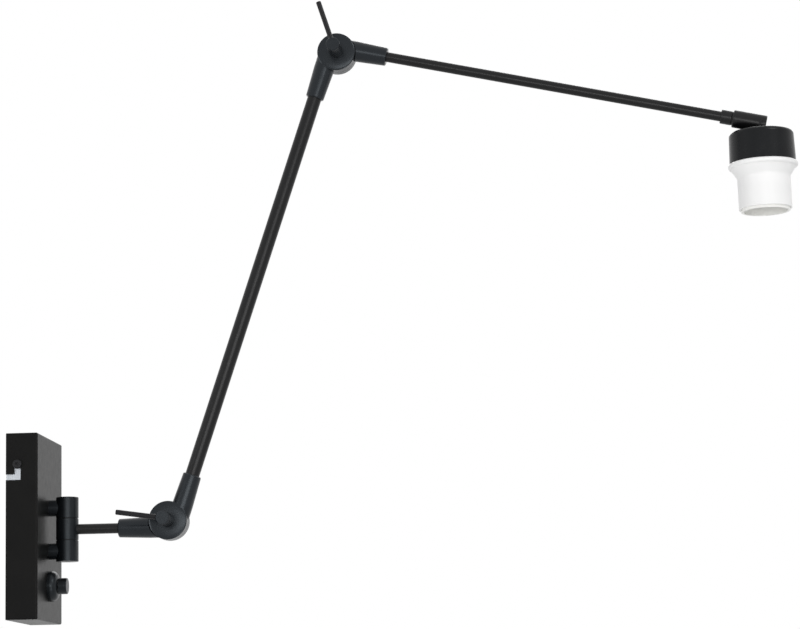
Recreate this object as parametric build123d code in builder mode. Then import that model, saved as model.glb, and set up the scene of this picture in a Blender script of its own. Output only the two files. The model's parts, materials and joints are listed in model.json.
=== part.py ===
from build123d import *
import os
from math import cos, radians, sin, tan

# Articulating wall lamp, in millimetres.
#
# The origin is the centre of the wall box's back, on the wall. +X points out of the wall, +Y along
# the wall and +Z up. The arms are drawn as they stand in the resting pose, in the plane Y = 0.

# ---- fits -------------------------------------------------------------------------------------
SEAT = 0.02  # radial room round a fixed piece in its bore
RUN = 0.05  # radial room round a shaft that turns
LIE = 0.3  # room between a loose cable and the wall that it lies on

# ---- wall box and bracket ---------------------------------------------------------------------
BOX_DEPTH = 31.0
BOX_WIDTH = 116.0
BOX_HEIGHT = 180.0
BOX_SHEET = 1.5
BEND_RADIUS = 1.6
HOOK_MOUTH_LOW = 44.4  # lower edge of the slot's mouth, above the box's middle
HOOK_MOUTH_HEIGHT = 5.6
HOOK_WIDTH = 6.2
HOOK_DEPTH = 11.3  # from the wall to the hook's centre line
HOOK_TOP = 59.7  # height of the cover screw, where the hook ends
BRACKET_SHEET = 2.0
BRACKET_HEIGHT = 150.0
BRACKET_RISE = 3.0  # the bracket's middle lies above the box's middle
BRACKET_PLAY = 0.6  # between the bracket's flange and the cover
FLANGE_DEPTH = 22.0
FLANGE_HEIGHT = 42.0
FLANGE_MIDDLE = 57.0
FIXING_SPAN_Y = 60.0
FIXING_SPAN_Z = 120.0
FIXING_RADIUS = 2.75
ENTRY_RADIUS = 12.0
ENTRY_HEIGHT = 34.0
COVER_SCREW_RADIUS = 2.45
COVER_SCREW_LENGTH = 8.0
COVER_HEAD_RADIUS = 4.5
COVER_HEAD_HEIGHT = 2.6
COVER_HEAD_ROUND = 1.3
COVER_HEX = 3.0
COVER_HEX_DEPTH = 1.3

# ---- hinge ------------------------------------------------------------------------------------
HINGE_X = 48.4
KNUCKLE_RADIUS = 11.0
KNUCKLE_HEIGHT = 20.6
HINGE_GAP = 0.6
HINGE_WASHER_RADIUS = 10.4
HINGE_WASHER = 0.5
PIN_RADIUS = 6.0
PIN_BORE = 3.5
PIN_WINDOW = 3.0
PLUG_LENGTH = 4.0
POST_RADIUS = 8.0
NIPPLE_RADIUS = 5.0
NIPPLE_BORE = 3.5
NIPPLE_INSIDE = 6.8  # how far a nipple stands past the backing plate
BACKING_SHEET = 2.5
BACKING_WIDTH = 44.0
BACKING_HEIGHT = 74.0
NIPPLE_WASHER_RADIUS = 8.5
NIPPLE_WASHER = 1.0
NIPPLE_NUT_FLATS = 14.0
NIPPLE_NUT = 4.0

# ---- arms -------------------------------------------------------------------------------------
ELBOW_X = 149.4  # the lower elbow's pivot, from the wall
LOWER_ARM_ANGLE = 71.4  # above the horizontal
LOWER_ARM_SPAN = 493.4  # between the two pivots, measured along the lower arm
UPPER_ARM_ANGLE = -12.53
UPPER_ARM_REACH = 425.8  # from the upper pivot to the tilt pin, along the upper arm
THIN_TUBE_RADIUS = 5.0
THIN_TUBE_BORE = 3.75
THICK_TUBE_RADIUS = 7.0
THICK_TUBE_BORE = 5.5
CABLE_RADIUS = 2.5
TUBE_FOOT = 28.5  # from a pivot to the end of the tube in its socket
SHORT_ARM_FOOT = 1.4  # wall of the knuckle left between the pin and the short arm

# ---- elbow hubs and clamps --------------------------------------------------------------------
HUB_HALF = 11.0
HUB_GAP = 0.25  # from the elbow's middle plane to each half
DISC_RADIUS = 18.9
DISC_ROOM = 0.7
DISC_FLAT_RADIUS = 8.5  # flat seat under the knob, before the disc's face rounds off
DISC_CROWN = 1.6
THIN_OFFSET = 5.9  # the axis of a thin tube passes this far beside its pivot
THICK_OFFSET = 7.8
SOCKET_LENGTH = 49.6
SOCKET_ROOT_RADIUS = 10.2
SOCKET_END_RADIUS = 9.05
SOCKET_CHAMFER = 0.8
SOCKET_STOP = 28.0
WIRE_WAY = 3.0
CHAMBER_INNER = 5.5
CHAMBER_OUTER = 12.0
CHAMBER_DEPTH = 5.5
BOLT_RADIUS = 4.0
BOLT_HEAD_RADIUS = 7.0
BOLT_HEAD = 4.6
BOLT_HEAD_SINK = 5.0
BOLT_HEAD_ROOM = 0.2
BOLT_HEX = 5.0
BOLT_HEX_DEPTH = 2.5
BOLT_REACH = 30.0
FRICTION_INNER = 12.6
FRICTION_OUTER = 17.2
FRICTION_THICKNESS = 0.46
GRUB_RADIUS = 2.0
GRUB_PLACE = 41.0
GRUB_LENGTH = 3.2
GRUB_HEX = 2.0
GRUB_HEX_DEPTH = 1.5
KNOB_RADIUS = 6.8
KNOB_FACE = 42.5  # from the elbow's middle plane to the knob's face
KNOB_CHAMFER = 0.7
KNOB_THREAD_ROOM = 2.0
LEVER_RADIUS = 2.5
LEVER_LENGTH = 46.5  # from the knob's axis to the lever's tip
LEVER_SINK = 3.0  # where the lever starts in the knob
LEVER_PLACE = 37.0
LEVER_TIP_RADIUS = 0.7
LOWER_LEVER_ANGLE = 171.6
UPPER_LEVER_ANGLE = 107.6

# ---- swivel and tilt --------------------------------------------------------------------------
SLEEVE_RADIUS = 8.75
SLEEVE_BEFORE_PIN = 27.5
SLEEVE_AFTER_PIN = 5.7
SLEEVE_CHAMFER = 0.8
SLEEVE_NECK = 10.0
SLEEVE_CHAMBER = 7.0
SLEEVE_SLOT = 8.6
COLLAR_RADIUS = 7.0
COLLAR_LENGTH = 11.0
COLLAR_CHAMFER = 0.5
SWIVEL_WASHER = 0.8
SWIVEL_WASHER_RADIUS = 6.6
SWIVEL_NUT_RADIUS = 6.5
SWIVEL_NUT = 4.6
SWIVEL_NUT_PLAY = 0.1
TILT_PIN_RADIUS = 2.0
TILT_PIN_SINK = 0.4
EYE_RADIUS = 5.2
EYE_HALF = 4.2
SPACER_RADIUS = 3.4
SPACER_PLAY = 0.05
SPACER_LENGTH = 1.5
STEM_RADIUS = 4.0
STEM_THREAD_RADIUS = 3.5
STEM_BORE = 1.8
STEM_WINDOW_RADIUS = 1.6
STEM_WINDOW_DEPTH = 7.6

# ---- lamp head, as depths below the tilt pin along the head's axis --------------------------------
HEAD_LEAN = 1.4  # the head's foot leans away from the wall
CAP_TOP = 8.5
CAP_DISH = 10.6
CAP_DISH_RADIUS = 25.0
CAP_WALL = 2.0
CAP_TOP_RADIUS = 31.7
CAP_FOOT_RADIUS = 32.5
CAP_CORNER = 4.4
CAP_FOOT = 39.8
STEM_FOOT = 32.0
STEM_NUT_FLATS = 13.0
STEM_NUT = 4.0
SHADE_SPIGOT = 5.0
SHADE_WALL = 1.8
SHADE_RIM_RADIUS = 34.2
SHADE_RIM_ROUND = 2.4
SHADE_RIM_HEIGHT = 5.2
SHADE_SLEEVE_RADIUS = 26.0
SHADE_CONE_FOOT = 54.0
SHADE_BLEND = 5.0
SHADE_FOOT = 85.5
HOLDER_FOOT = 88.0
HOLDER_WALL = 2.4
HOLDER_BOSS_RADIUS = 8.0
HOLDER_BOSS = 8.0
HOLDER_CONE_FOOT = 46.0
HOLDER_LEDGE = 56.0
HOLDER_LEDGE_INNER = 18.5
INSULATOR_ROOM = 0.2
INSULATOR_DISC = 5.0
INSULATOR_TUBE_RADIUS = 17.0
INSULATOR_FOOT = 80.5
INSULATOR_WIRE_WAY = 1.3
INSULATOR_WIRE_PLACE = 10.0
SHELL_RADIUS = 14.2
SHELL_SHEET = 0.7
SHELL_NECK_RADIUS = 12.7
SHELL_FLOOR_HOLE = 7.5
SHELL_TOP = 64.4  # where the thread starts, clear of the centre contact
SHELL_FOOT = 79.0
CONTACT_RADIUS = 4.5
CONTACT_HEIGHT = 3.0
CONTACT_RIVET = 1.5
HEAD_LEAD_RADIUS = 1.2

# ---- dimmer -----------------------------------------------------------------------------------
DIMMER_DROP = 55.3
DIMMER_DEPTH = 20.0
DIMMER_WIDTH = 36.0
DIMMER_HEIGHT = 32.0
BUSH_RADIUS = 4.5
BUSH_REACH = 7.0
SHAFT_RADIUS = 3.0
SHAFT_SINK = 4.0
ROSETTE_RADIUS = 15.0
ROSETTE_EDGE = 2.2
ROSETTE_TOP_RADIUS = 7.9
ROSETTE_TOP = 9.0
DIMMER_KNOB_GAP = 0.5
DIMMER_KNOB_RADIUS = 7.9
DIMMER_KNOB_LENGTH = 8.2
DIMMER_KNOB_ROUND = 0.8
DIMMER_KNOB_WALL = 2.4

# ---- wiring in the box ------------------------------------------------------------------------
TERMINAL_DEPTH = 12.0
TERMINAL_WIDTH = 34.0
TERMINAL_HEIGHT = 13.0
TERMINAL_Z = 66.0
TERMINAL_PITCH = 10.0
TERMINAL_WAY = 1.8
TERMINAL_SCREW_RADIUS = 1.6
TERMINAL_SCREW_SINK = 1.0
TERMINAL_SCREW_LENGTH = 4.0
EARTH_FROM_SIDE = 21.0
EARTH_Z = 38.0
EARTH_RADIUS = 2.0
EARTH_HEAD_RADIUS = 3.8
EARTH_HEAD = 2.4
LEAD_RADIUS = 1.2
MAINS_LEAD_X = 14.0  # where the supply lead enters the dimmer
MAINS_BEND_HIGH = 12.0
MAINS_BEND_LOW = -18.0
LAMP_LEAD_X = 13.0
LAMP_LEAD_END = 26.0

# ---- places that follow from the sizes ----------------------------------------------------------
FRONT = BOX_DEPTH
FRONT_INSIDE = BOX_DEPTH - BOX_SHEET
BACKING_FACE = FRONT_INSIDE - BACKING_SHEET
FLANGE_OUTSIDE = BOX_WIDTH / 2 - BOX_SHEET - BRACKET_PLAY
KNUCKLE_PITCH = KNUCKLE_HEIGHT + HINGE_GAP
BARREL_HALF = 1.5 * KNUCKLE_HEIGHT + HINGE_GAP
BOX_SIDE = BOX_WIDTH / 2
EARTH_Y = BOX_SIDE - EARTH_FROM_SIDE


def tilted(angle):
    """Unit vector in the plane Y = 0, at an angle above +X."""
    return Vector(cos(radians(angle)), 0, sin(radians(angle)))


ALONG_LOWER = tilted(LOWER_ARM_ANGLE)
ALONG_UPPER = tilted(UPPER_ARM_ANGLE)
RIGHT_OF_LOWER = tilted(LOWER_ARM_ANGLE - 90)
LEFT_OF_UPPER = tilted(UPPER_ARM_ANGLE + 90)
LOWER_PIVOT = Vector(ELBOW_X, 0, THIN_OFFSET)
LOWER_ARM_START = LOWER_PIVOT + RIGHT_OF_LOWER * THICK_OFFSET
LOWER_ARM_END = LOWER_ARM_START + ALONG_LOWER * LOWER_ARM_SPAN
UPPER_PIVOT = LOWER_ARM_END + RIGHT_OF_LOWER * THICK_OFFSET
UPPER_ARM_START = UPPER_PIVOT + LEFT_OF_UPPER * THIN_OFFSET
TILT_PIN = UPPER_ARM_START + ALONG_UPPER * UPPER_ARM_REACH

SLEEVE_START = UPPER_ARM_REACH - SLEEVE_BEFORE_PIN
SLEEVE_LENGTH = SLEEVE_BEFORE_PIN + SLEEVE_AFTER_PIN
COLLAR_END = SLEEVE_START - SWIVEL_WASHER - 2 * SPACER_PLAY
SWIVEL_NUT_START = SLEEVE_START + SLEEVE_NECK + SWIVEL_NUT_PLAY
UPPER_TUBE_END = SWIVEL_NUT_START + SWIVEL_NUT

CAP_ROOF = CAP_DISH + CAP_WALL
SPIGOT_RADIUS = CAP_FOOT_RADIUS - CAP_WALL - INSULATOR_ROOM
HOLDER_RADIUS = SHADE_SLEEVE_RADIUS - SHADE_WALL - LIE
HOLDER_TOP = STEM_FOOT - HOLDER_BOSS
INSULATOR_RADIUS = HOLDER_RADIUS - HOLDER_WALL - INSULATOR_ROOM

# ---- planes -------------------------------------------------------------------------------------
FACING_WALL = Plane.YZ
HEAD = Plane(origin=TILT_PIN, x_dir=tilted(HEAD_LEAN), z_dir=tilted(HEAD_LEAN - 90))


def across(point, direction):
    """Plane square to an arm, with its own x along +Y and its own y up and to the left."""
    return Plane(origin=point, x_dir=(0, 1, 0), z_dir=direction)


def elbow(pivot, direction, side):
    """Middle plane of an elbow, x along an arm and its normal towards +Y (side 1) or -Y (side -1)."""
    return Plane(origin=pivot, x_dir=direction, z_dir=(0, side, 0))


def section(where):
    """Plane through a turned piece's axis: x is the radius and y the height along the normal."""
    return Plane(origin=where.origin, x_dir=where.x_dir, z_dir=-where.y_dir)


def finish(piece, name):
    piece.part.label = name
    export_step(piece.part, f"parts/{name}.step")


def ring(where, outer, bore, height, name):
    """A plain ring or tube, written under its name."""
    with BuildPart() as piece:
        with BuildSketch(where):
            Circle(outer)
            Circle(bore, mode=Mode.SUBTRACT)
        extrude(amount=height)
    finish(piece, name)


def rod(where, radius, height, name):
    with BuildPart() as piece:
        with BuildSketch(where):
            Circle(radius)
        extrude(amount=height)
    finish(piece, name)


def lead(name, points, radius, bends):
    """A wire along straight runs joined by tangent arcs."""
    with BuildPart() as wire:
        with BuildLine() as route:
            FilletPolyline(*points, radius=bends)
        with BuildSketch(Plane(origin=route.line @ 0, z_dir=route.line % 0)):
            Circle(radius)
        sweep(path=route.wires()[0])
    finish(wire, name)


def bend_radii(points, share=0.45):
    """The largest even arcs that the runs on both sides of each corner leave room for."""
    corners = [Vector(*p) for p in points]
    radii = []
    for before, here, after in zip(corners, corners[1:], corners[2:]):
        first, second = here - before, after - here
        turn = radians(first.get_angle(second))
        radii.append(share * min(first.length, second.length) / tan(turn / 2))
    return radii


os.makedirs("parts", exist_ok=True)


# ---- wall box and bracket -----------------------------------------------------------------------
def make_wall_box():
    with BuildPart() as wall_box:
        with BuildSketch(FACING_WALL):
            Rectangle(BOX_WIDTH, BOX_HEIGHT)
        extrude(amount=BOX_DEPTH)
        bends = wall_box.faces().sort_by(Axis.X)[-1].edges() + wall_box.edges().filter_by(Axis.X)
        fillet(bends, BEND_RADIUS)
        with BuildSketch(FACING_WALL):
            Rectangle(BOX_WIDTH - 2 * BOX_SHEET, BOX_HEIGHT - 2 * BOX_SHEET)
        extrude(amount=FRONT_INSIDE, mode=Mode.SUBTRACT)
        with BuildSketch(FACING_WALL.offset(FRONT_INSIDE)):
            with Locations((0, KNUCKLE_PITCH), (0, -KNUCKLE_PITCH)):
                Circle(NIPPLE_RADIUS + RUN)
            with Locations((0, -DIMMER_DROP)):
                Circle(BUSH_RADIUS + RUN)
        extrude(amount=BOX_SHEET, mode=Mode.SUBTRACT)
        with BuildSketch(Plane.XZ):
            slot_end = HOOK_DEPTH + HOOK_WIDTH / 2
            with Locations((0, HOOK_MOUTH_LOW)):
                Rectangle(slot_end, HOOK_MOUTH_HEIGHT, align=(Align.MIN, Align.MIN))
            with Locations((HOOK_DEPTH, HOOK_MOUTH_LOW)):
                Rectangle(HOOK_WIDTH, HOOK_TOP - HOOK_MOUTH_LOW, align=(Align.CENTER, Align.MIN))
            with Locations((HOOK_DEPTH, HOOK_TOP)):
                Circle(HOOK_WIDTH / 2)
        extrude(amount=BOX_WIDTH, both=True, mode=Mode.SUBTRACT)
    finish(wall_box, "wall_box")


def make_wall_bracket():
    with BuildPart() as bracket:
        with BuildSketch(FACING_WALL):
            with Locations((0, BRACKET_RISE)):
                Rectangle(2 * FLANGE_OUTSIDE, BRACKET_HEIGHT)
            with Locations((0, 0)):
                with GridLocations(FIXING_SPAN_Y, FIXING_SPAN_Z, 2, 2):
                    Circle(FIXING_RADIUS, mode=Mode.SUBTRACT)
            with Locations((0, ENTRY_HEIGHT)):
                Circle(ENTRY_RADIUS, mode=Mode.SUBTRACT)
            with Locations((EARTH_Y, EARTH_Z)):
                Circle(EARTH_RADIUS + SEAT, mode=Mode.SUBTRACT)
        extrude(amount=BRACKET_SHEET)
        with BuildSketch(FACING_WALL):
            flange_y = FLANGE_OUTSIDE - BRACKET_SHEET / 2
            with Locations((flange_y, FLANGE_MIDDLE), (-flange_y, FLANGE_MIDDLE)):
                Rectangle(BRACKET_SHEET, FLANGE_HEIGHT)
        extrude(amount=FLANGE_DEPTH)
        with BuildSketch(Plane.XZ):
            with Locations((HOOK_DEPTH, HOOK_TOP)):
                Circle(COVER_SCREW_RADIUS + SEAT)
        extrude(amount=BOX_WIDTH, both=True, mode=Mode.SUBTRACT)
    finish(bracket, "wall_bracket")


def make_cover_screws():
    with BuildPart() as screws:
        for side in (-1, 1):
            outside = Plane(origin=(HOOK_DEPTH, side * BOX_SIDE, HOOK_TOP), z_dir=(0, side, 0))
            with BuildSketch(outside):
                Circle(COVER_HEAD_RADIUS)
            extrude(amount=COVER_HEAD_HEIGHT)
            with BuildSketch(outside):
                Circle(COVER_SCREW_RADIUS)
            extrude(amount=-COVER_SCREW_LENGTH)
        outer_faces = screws.faces().sort_by(Axis.Y)
        for face in (outer_faces[0], outer_faces[-1]):
            fillet(face.edges(), COVER_HEAD_ROUND)
        for side in (-1, 1):
            top = side * (BOX_SIDE + COVER_HEAD_HEIGHT)
            with BuildSketch(Plane(origin=(HOOK_DEPTH, top, HOOK_TOP), z_dir=(0, side, 0))):
                RegularPolygon(COVER_HEX / 2, 6, major_radius=False)
            extrude(amount=-COVER_HEX_DEPTH, mode=Mode.SUBTRACT)
    finish(screws, "cover_screws")


# ---- hinge ----------------------------------------------------------------------------------------
def make_backing_plate():
    with BuildPart() as plate:
        with BuildSketch(FACING_WALL.offset(BACKING_FACE)):
            Rectangle(BACKING_WIDTH, BACKING_HEIGHT)
            with Locations((0, KNUCKLE_PITCH), (0, -KNUCKLE_PITCH)):
                Circle(NIPPLE_RADIUS + RUN, mode=Mode.SUBTRACT)
        extrude(amount=BACKING_SHEET)
    finish(plate, "hinge_backing_plate")


def make_post(height, name):
    """A stand-off post, hollowed at its end to sit on the knuckle."""
    with BuildPart() as post:
        with BuildSketch(FACING_WALL.offset(FRONT)):
            with Locations((0, height)):
                Circle(POST_RADIUS)
                Circle(NIPPLE_RADIUS + SEAT, mode=Mode.SUBTRACT)
        extrude(amount=HINGE_X - FRONT)
        with BuildSketch(Plane.XY.offset(height - BARREL_HALF)):
            with Locations((HINGE_X, 0)):
                Circle(KNUCKLE_RADIUS + SEAT)
        extrude(amount=2 * BARREL_HALF, mode=Mode.SUBTRACT)
    finish(post, name)


def make_knuckle(height, bore, branch_radius, branch_side, name):
    """One knuckle of the barrel, with a hole in its side for a nipple or for the short arm."""
    with BuildPart() as knuckle:
        with BuildSketch(Plane.XY.offset(height - KNUCKLE_HEIGHT / 2)):
            with Locations((HINGE_X, 0)):
                Circle(KNUCKLE_RADIUS)
                Circle(bore, mode=Mode.SUBTRACT)
        extrude(amount=KNUCKLE_HEIGHT)
        rims = knuckle.edges().filter_by(GeomType.CIRCLE).group_by(SortBy.RADIUS)[-1]
        chamfer(rims, HINGE_GAP / 2)
        with BuildSketch(FACING_WALL.offset(HINGE_X)):
            with Locations((0, height)):
                Circle(branch_radius)
        extrude(amount=branch_side * 2 * KNUCKLE_RADIUS, mode=Mode.SUBTRACT)
    finish(knuckle, name)


def make_hinge_pin():
    with BuildPart() as pin:
        with BuildSketch(Plane.XY.offset(-BARREL_HALF)):
            with Locations((HINGE_X, 0)):
                Circle(PIN_RADIUS)
                Circle(PIN_BORE, mode=Mode.SUBTRACT)
        extrude(amount=2 * BARREL_HALF)
        with BuildSketch(FACING_WALL.offset(HINGE_X)):
            with Locations((0, -KNUCKLE_PITCH)):
                Circle(PIN_WINDOW)
        extrude(amount=-2 * PIN_RADIUS, mode=Mode.SUBTRACT)
        with BuildSketch(FACING_WALL.offset(HINGE_X)):
            Circle(PIN_WINDOW)
        extrude(amount=2 * PIN_RADIUS, mode=Mode.SUBTRACT)
    finish(pin, "hinge_pin")


def make_pairs_on_hinge():
    """Pairs of like small pieces along the hinge, each pair a node."""
    with BuildPart() as plugs:
        for end in (-1, 1):
            with BuildSketch(Plane.XY.offset(end * BARREL_HALF)):
                with Locations((HINGE_X, 0)):
                    Circle(PIN_BORE - SEAT)
            extrude(amount=-end * PLUG_LENGTH)
    finish(plugs, "hinge_pin_plugs")

    with BuildPart() as washers:
        for side in (-1, 1):
            middle = side * KNUCKLE_PITCH / 2
            with BuildSketch(Plane.XY.offset(middle - HINGE_WASHER / 2)):
                with Locations((HINGE_X, 0)):
                    Circle(HINGE_WASHER_RADIUS)
                    Circle(PIN_RADIUS + SEAT, mode=Mode.SUBTRACT)
            extrude(amount=HINGE_WASHER)
    finish(washers, "hinge_washers")

    heights = [(0, KNUCKLE_PITCH), (0, -KNUCKLE_PITCH)]
    nipple_start = BACKING_FACE - NIPPLE_INSIDE
    with BuildPart() as nipples:
        with BuildSketch(FACING_WALL.offset(nipple_start)):
            with Locations(*heights):
                Circle(NIPPLE_RADIUS)
                Circle(NIPPLE_BORE, mode=Mode.SUBTRACT)
        extrude(amount=HINGE_X - PIN_RADIUS - LIE - nipple_start)
    finish(nipples, "post_nipples")

    with BuildPart() as washers:
        with BuildSketch(FACING_WALL.offset(BACKING_FACE)):
            with Locations(*heights):
                Circle(NIPPLE_WASHER_RADIUS)
                Circle(NIPPLE_RADIUS + SEAT, mode=Mode.SUBTRACT)
        extrude(amount=-NIPPLE_WASHER)
    finish(washers, "nipple_washers")

    with BuildPart() as nuts:
        with BuildSketch(FACING_WALL.offset(BACKING_FACE - NIPPLE_WASHER)):
            with Locations(*heights):
                RegularPolygon(NIPPLE_NUT_FLATS / 2, 6, major_radius=False)
                Circle(NIPPLE_RADIUS + SEAT, mode=Mode.SUBTRACT)
        extrude(amount=-NIPPLE_NUT)
    finish(nuts, "nipple_nuts")


# ---- elbows -----------------------------------------------------------------------------------------
def make_hub(where, tube_radius, offset, holds_bolt, grub_side, name):
    """Half of an elbow: a disc with a tapered socket whose axis passes beside the pivot.

    where has its origin at the pivot, x along the arm and its normal towards the disc's outside.
    """
    axis_point = where.from_local_coords((0, -offset, 0))
    socket_section = Plane(origin=axis_point, x_dir=where.x_dir, z_dir=where.z_dir)
    with BuildPart() as hub:
        with BuildSketch(section(where)):
            with BuildLine():
                crown_foot = HUB_HALF - DISC_CROWN
                Polyline((0, HUB_HALF), (0, HUB_GAP), (DISC_RADIUS, HUB_GAP), (DISC_RADIUS, crown_foot))
                EllipticalCenterArc(
                    (DISC_FLAT_RADIUS, crown_foot),
                    DISC_RADIUS - DISC_FLAT_RADIUS,
                    DISC_CROWN,
                    arc_size=90,
                )
                Line((DISC_FLAT_RADIUS, HUB_HALF), (0, HUB_HALF))
            make_face()
        revolve(axis=Axis(where.origin, where.z_dir))
        with BuildSketch(socket_section):
            with BuildLine():
                Polyline(
                    (0, 0),
                    (0, SOCKET_ROOT_RADIUS),
                    (DISC_RADIUS, SOCKET_ROOT_RADIUS),
                    (SOCKET_LENGTH - SOCKET_CHAMFER, SOCKET_END_RADIUS),
                    (SOCKET_LENGTH, SOCKET_END_RADIUS - SOCKET_CHAMFER),
                    (SOCKET_LENGTH, 0),
                    close=True,
                )
            make_face()
        revolve(axis=Axis(axis_point, where.x_dir))
        with BuildSketch(where.offset(HUB_GAP)):
            Circle(DISC_RADIUS + DISC_ROOM)
        extrude(amount=-2 * HUB_HALF, mode=Mode.SUBTRACT)
        with BuildSketch(where.offset(HUB_GAP)):
            Circle(CHAMBER_OUTER)
            Circle(CHAMBER_INNER, mode=Mode.SUBTRACT)
        extrude(amount=CHAMBER_DEPTH, mode=Mode.SUBTRACT)
        with BuildSketch(where):
            Circle(BOLT_RADIUS + RUN)
        extrude(amount=HUB_HALF, mode=Mode.SUBTRACT)
        if holds_bolt:
            with BuildSketch(where.offset(HUB_HALF)):
                Circle(BOLT_HEAD_RADIUS + BOLT_HEAD_ROOM)
            extrude(amount=-BOLT_HEAD_SINK, mode=Mode.SUBTRACT)
        stop = Plane(
            origin=axis_point + where.x_dir * SOCKET_STOP, x_dir=where.y_dir, z_dir=where.x_dir
        )
        with BuildSketch(stop):
            Circle(tube_radius + SEAT)
        extrude(amount=SOCKET_LENGTH, mode=Mode.SUBTRACT)
        with BuildSketch(stop):
            Circle(WIRE_WAY)
        extrude(amount=-(SOCKET_STOP - CHAMBER_INNER), mode=Mode.SUBTRACT)
        with BuildSketch(where):
            with Locations((GRUB_PLACE, -offset)):
                Circle(GRUB_RADIUS + SEAT)
        extrude(amount=grub_side * 2 * HUB_HALF, mode=Mode.SUBTRACT)
    finish(hub, name)


def make_grubs(hubs, tube_radius, offset, grub_side, name):
    """Headless set screws that bear on the tubes in the sockets of some hubs."""
    with BuildPart() as grubs:
        for where in hubs:
            place = where.from_local_coords((GRUB_PLACE, -offset, 0))
            foot = Plane(origin=place, x_dir=where.x_dir, z_dir=where.z_dir * grub_side)
            foot = foot.offset(tube_radius + SEAT)
            with BuildSketch(foot):
                Circle(GRUB_RADIUS)
            extrude(amount=GRUB_LENGTH)
            with BuildSketch(foot.offset(GRUB_LENGTH)):
                RegularPolygon(GRUB_HEX / 2, 6, major_radius=False)
            extrude(amount=-GRUB_HEX_DEPTH, mode=Mode.SUBTRACT)
    finish(grubs, name)


def make_clamp(pivot, lever_angle, elbow_name):
    """The bolt, friction washer, knob and lever that squeeze one elbow together."""
    front = Plane(origin=pivot, x_dir=(1, 0, 0), z_dir=(0, -1, 0))
    with BuildPart() as bolt:
        head_foot = -(HUB_HALF - BOLT_HEAD_SINK)
        with BuildSketch(front.offset(head_foot)):
            Circle(BOLT_HEAD_RADIUS)
        extrude(amount=-BOLT_HEAD)
        with BuildSketch(front.offset(head_foot)):
            Circle(BOLT_RADIUS)
        extrude(amount=BOLT_REACH - head_foot)
        with BuildSketch(front.offset(head_foot - BOLT_HEAD)):
            RegularPolygon(BOLT_HEX / 2, 6, major_radius=False)
        extrude(amount=BOLT_HEX_DEPTH, mode=Mode.SUBTRACT)
    finish(bolt, f"{elbow_name}_bolt")

    ring(
        front.offset(-FRICTION_THICKNESS / 2),
        FRICTION_OUTER,
        FRICTION_INNER,
        FRICTION_THICKNESS,
        f"{elbow_name}_friction_washer",
    )

    lever_way = Plane(
        origin=front.from_local_coords((0, 0, LEVER_PLACE)),
        x_dir=(0, 1, 0),
        z_dir=tilted(lever_angle),
    )
    with BuildPart() as knob:
        with BuildSketch(front.offset(HUB_HALF + HUB_GAP)):
            Circle(KNOB_RADIUS)
        extrude(amount=KNOB_FACE - HUB_HALF - HUB_GAP)
        face = knob.faces().sort_by(Axis.Y)[0]
        chamfer(face.edges(), KNOB_CHAMFER)
        with BuildSketch(front.offset(HUB_HALF)):
            Circle(BOLT_RADIUS + RUN)
        extrude(amount=BOLT_REACH + KNOB_THREAD_ROOM - HUB_HALF, mode=Mode.SUBTRACT)
        with BuildSketch(lever_way.offset(LEVER_SINK)):
            Circle(LEVER_RADIUS + SEAT)
        extrude(amount=KNOB_RADIUS, mode=Mode.SUBTRACT)
    finish(knob, f"{elbow_name}_knob")

    with BuildPart() as lever:
        with BuildSketch(lever_way.offset(LEVER_SINK)):
            Circle(LEVER_RADIUS)
        extrude(amount=LEVER_LENGTH - LEVER_SINK)
        tip = lever.faces().sort_by(Axis(lever_way.origin, lever_way.z_dir))[-1]
        fillet(tip.edges(), LEVER_TIP_RADIUS)
    finish(lever, f"{elbow_name}_lever")


def make_cable(start, direction, tube_bore, length, name):
    """The cable that lies along the bottom of a tube."""
    with BuildPart() as cable:
        with BuildSketch(across(start, direction)):
            with Locations((0, -(tube_bore - LIE - CABLE_RADIUS))):
                Circle(CABLE_RADIUS)
        extrude(amount=length)
    finish(cable, name)


# ---- swivel and tilt --------------------------------------------------------------------------------
def upper_arm_at(distance):
    return across(UPPER_ARM_START + ALONG_UPPER * distance, ALONG_UPPER)


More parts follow.
